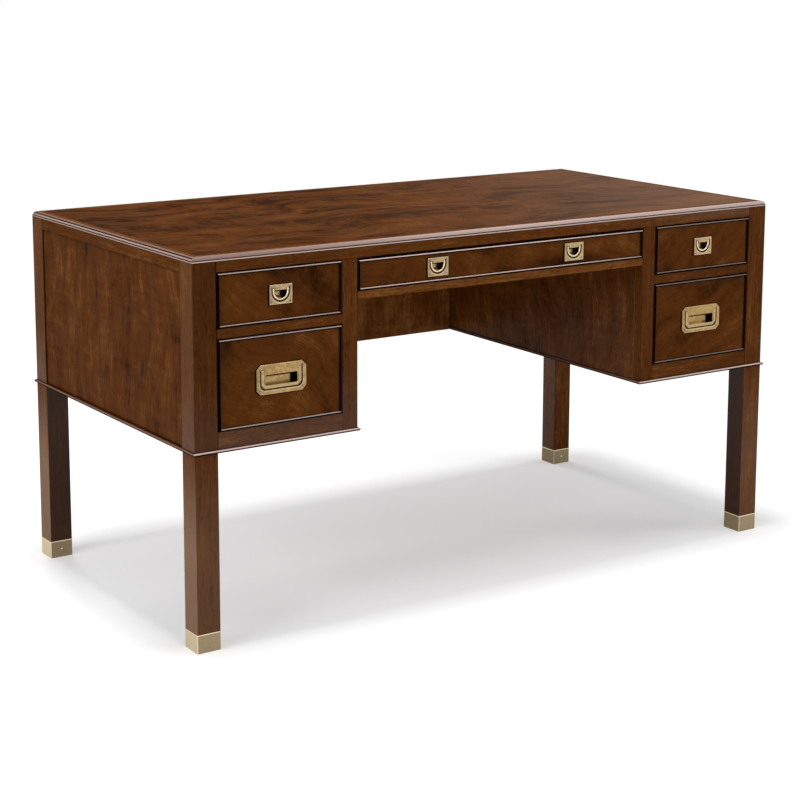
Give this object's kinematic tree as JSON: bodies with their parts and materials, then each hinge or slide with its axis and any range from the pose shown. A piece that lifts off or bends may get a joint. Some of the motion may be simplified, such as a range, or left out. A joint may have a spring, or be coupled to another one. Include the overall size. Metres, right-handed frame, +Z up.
{
  "type": "campaign desk",
  "caption": "Campaign style pedestal desk on full-height square posts, with a kneehole, beaded drawers that slide out, and flush brass pulls whose bails swing out.",
  "frame": {"origin": "on the floor, under the middle of the desk", "axes": "+Z is up, the drawer fronts face -Y, and +X is to the right of someone who looks at the drawer fronts"},
  "size_m": [1.453, 0.743, 0.762],
  "materials": {
    "mahogany": "polished",
    "top_veneer": "polished",
    "drawer_lining_wood": "waxed",
    "pull_brass": "aged satin",
    "ferrule_brass": "aged satin"
  },
  "bodies": {
    "case": {"back_panel": "mahogany", "back_top_rail": "mahogany", "base_nosing_left": "mahogany", "base_nosing_right": "mahogany", "bottom_rail_left": "mahogany", "bottom_rail_right": "mahogany", "centre_runners": "drawer_lining_wood", "divider_rail_left": "mahogany", "divider_rail_right": "mahogany", "end_panel_left": "mahogany", "end_panel_right": "mahogany", "end_top_rail_left": "mahogany", "end_top_rail_right": "mahogany", "ferrule_back_left": "ferrule_brass", "ferrule_back_right": "ferrule_brass", "ferrule_front_left": "ferrule_brass", "ferrule_front_right": "ferrule_brass", "front_stile_left": "mahogany", "front_stile_right": "mahogany", "front_top_rail": "mahogany", "kneehole_rail": "mahogany", "kneehole_side_left": "mahogany", "kneehole_side_right": "mahogany", "leg_back_left": "mahogany", "leg_back_right": "mahogany", "leg_front_left": "mahogany", "leg_front_right": "mahogany", "lower_runners_left": "drawer_lining_wood", "lower_runners_right": "drawer_lining_wood", "pedestal_bottom_left": "mahogany", "pedestal_bottom_right": "mahogany", "top_bearers": "drawer_lining_wood", "top_moulding": "top_veneer", "top_panel": "top_veneer", "upper_runners_left": "drawer_lining_wood", "upper_runners_right": "drawer_lining_wood"},
    "centre_drawer": {"centre_drawer_box": "drawer_lining_wood", "centre_drawer_front": "mahogany", "centre_pull_plates": "pull_brass"},
    "upper_drawer_left": {"upper_drawer_box_left": "drawer_lining_wood", "upper_drawer_front_left": "mahogany", "upper_pull_plate_left": "pull_brass"},
    "upper_bail_left": {"upper_pull_bail_left": "pull_brass"},
    "file_drawer_left": {"file_drawer_box_left": "drawer_lining_wood", "file_drawer_front_left": "mahogany", "file_pull_plate_left": "pull_brass"},
    "file_bail_left": {"file_pull_bail_left": "pull_brass"},
    "centre_bail_left": {"centre_pull_bail_left": "pull_brass"},
    "upper_drawer_right": {"upper_drawer_box_right": "drawer_lining_wood", "upper_drawer_front_right": "mahogany", "upper_pull_plate_right": "pull_brass"},
    "upper_bail_right": {"upper_pull_bail_right": "pull_brass"},
    "file_drawer_right": {"file_drawer_box_right": "drawer_lining_wood", "file_drawer_front_right": "mahogany", "file_pull_plate_right": "pull_brass"},
    "file_bail_right": {"file_pull_bail_right": "pull_brass"},
    "centre_bail_right": {"centre_pull_bail_right": "pull_brass"}
  },
  "joints": [
    {"name": "centre_drawer_slide", "type": "slide", "parent": "case", "child": "centre_drawer", "axis": [0, -1, 0], "range_m": [0, 0.38]},
    {"name": "upper_drawer_left_slide", "type": "slide", "parent": "case", "child": "upper_drawer_left", "axis": [0, -1, 0], "range_m": [0, 0.42]},
    {"name": "upper_bail_left_pivot", "type": "hinge", "parent": "upper_drawer_left", "child": "upper_bail_left", "pos_m": [-0.5345, -0.3667, 0.6855], "axis": [-1, 0, 0], "range_deg": [0, 90]},
    {"name": "file_drawer_left_slide", "type": "slide", "parent": "case", "child": "file_drawer_left", "axis": [0, -1, 0], "range_m": [0, 0.42]},
    {"name": "file_bail_left_pivot", "type": "hinge", "parent": "file_drawer_left", "child": "file_bail_left", "pos_m": [-0.5345, -0.3667, 0.53205], "axis": [-1, 0, 0], "range_deg": [0, 90]},
    {"name": "centre_bail_left_pivot", "type": "hinge", "parent": "centre_drawer", "child": "centre_bail_left", "pos_m": [-0.173, -0.3667, 0.7049], "axis": [-1, 0, 0], "range_deg": [0, 90]},
    {"name": "upper_drawer_right_slide", "type": "slide", "parent": "case", "child": "upper_drawer_right", "axis": [0, -1, 0], "range_m": [0, 0.42]},
    {"name": "upper_bail_right_pivot", "type": "hinge", "parent": "upper_drawer_right", "child": "upper_bail_right", "pos_m": [0.5345, -0.3667, 0.6855], "axis": [-1, 0, 0], "range_deg": [0, 90]},
    {"name": "file_drawer_right_slide", "type": "slide", "parent": "case", "child": "file_drawer_right", "axis": [0, -1, 0], "range_m": [0, 0.42]},
    {"name": "file_bail_right_pivot", "type": "hinge", "parent": "file_drawer_right", "child": "file_bail_right", "pos_m": [0.5345, -0.3667, 0.53205], "axis": [-1, 0, 0], "range_deg": [0, 90]},
    {"name": "centre_bail_right_pivot", "type": "hinge", "parent": "centre_drawer", "child": "centre_bail_right", "pos_m": [0.173, -0.3667, 0.7049], "axis": [-1, 0, 0], "range_deg": [0, 90]}
  ]
}
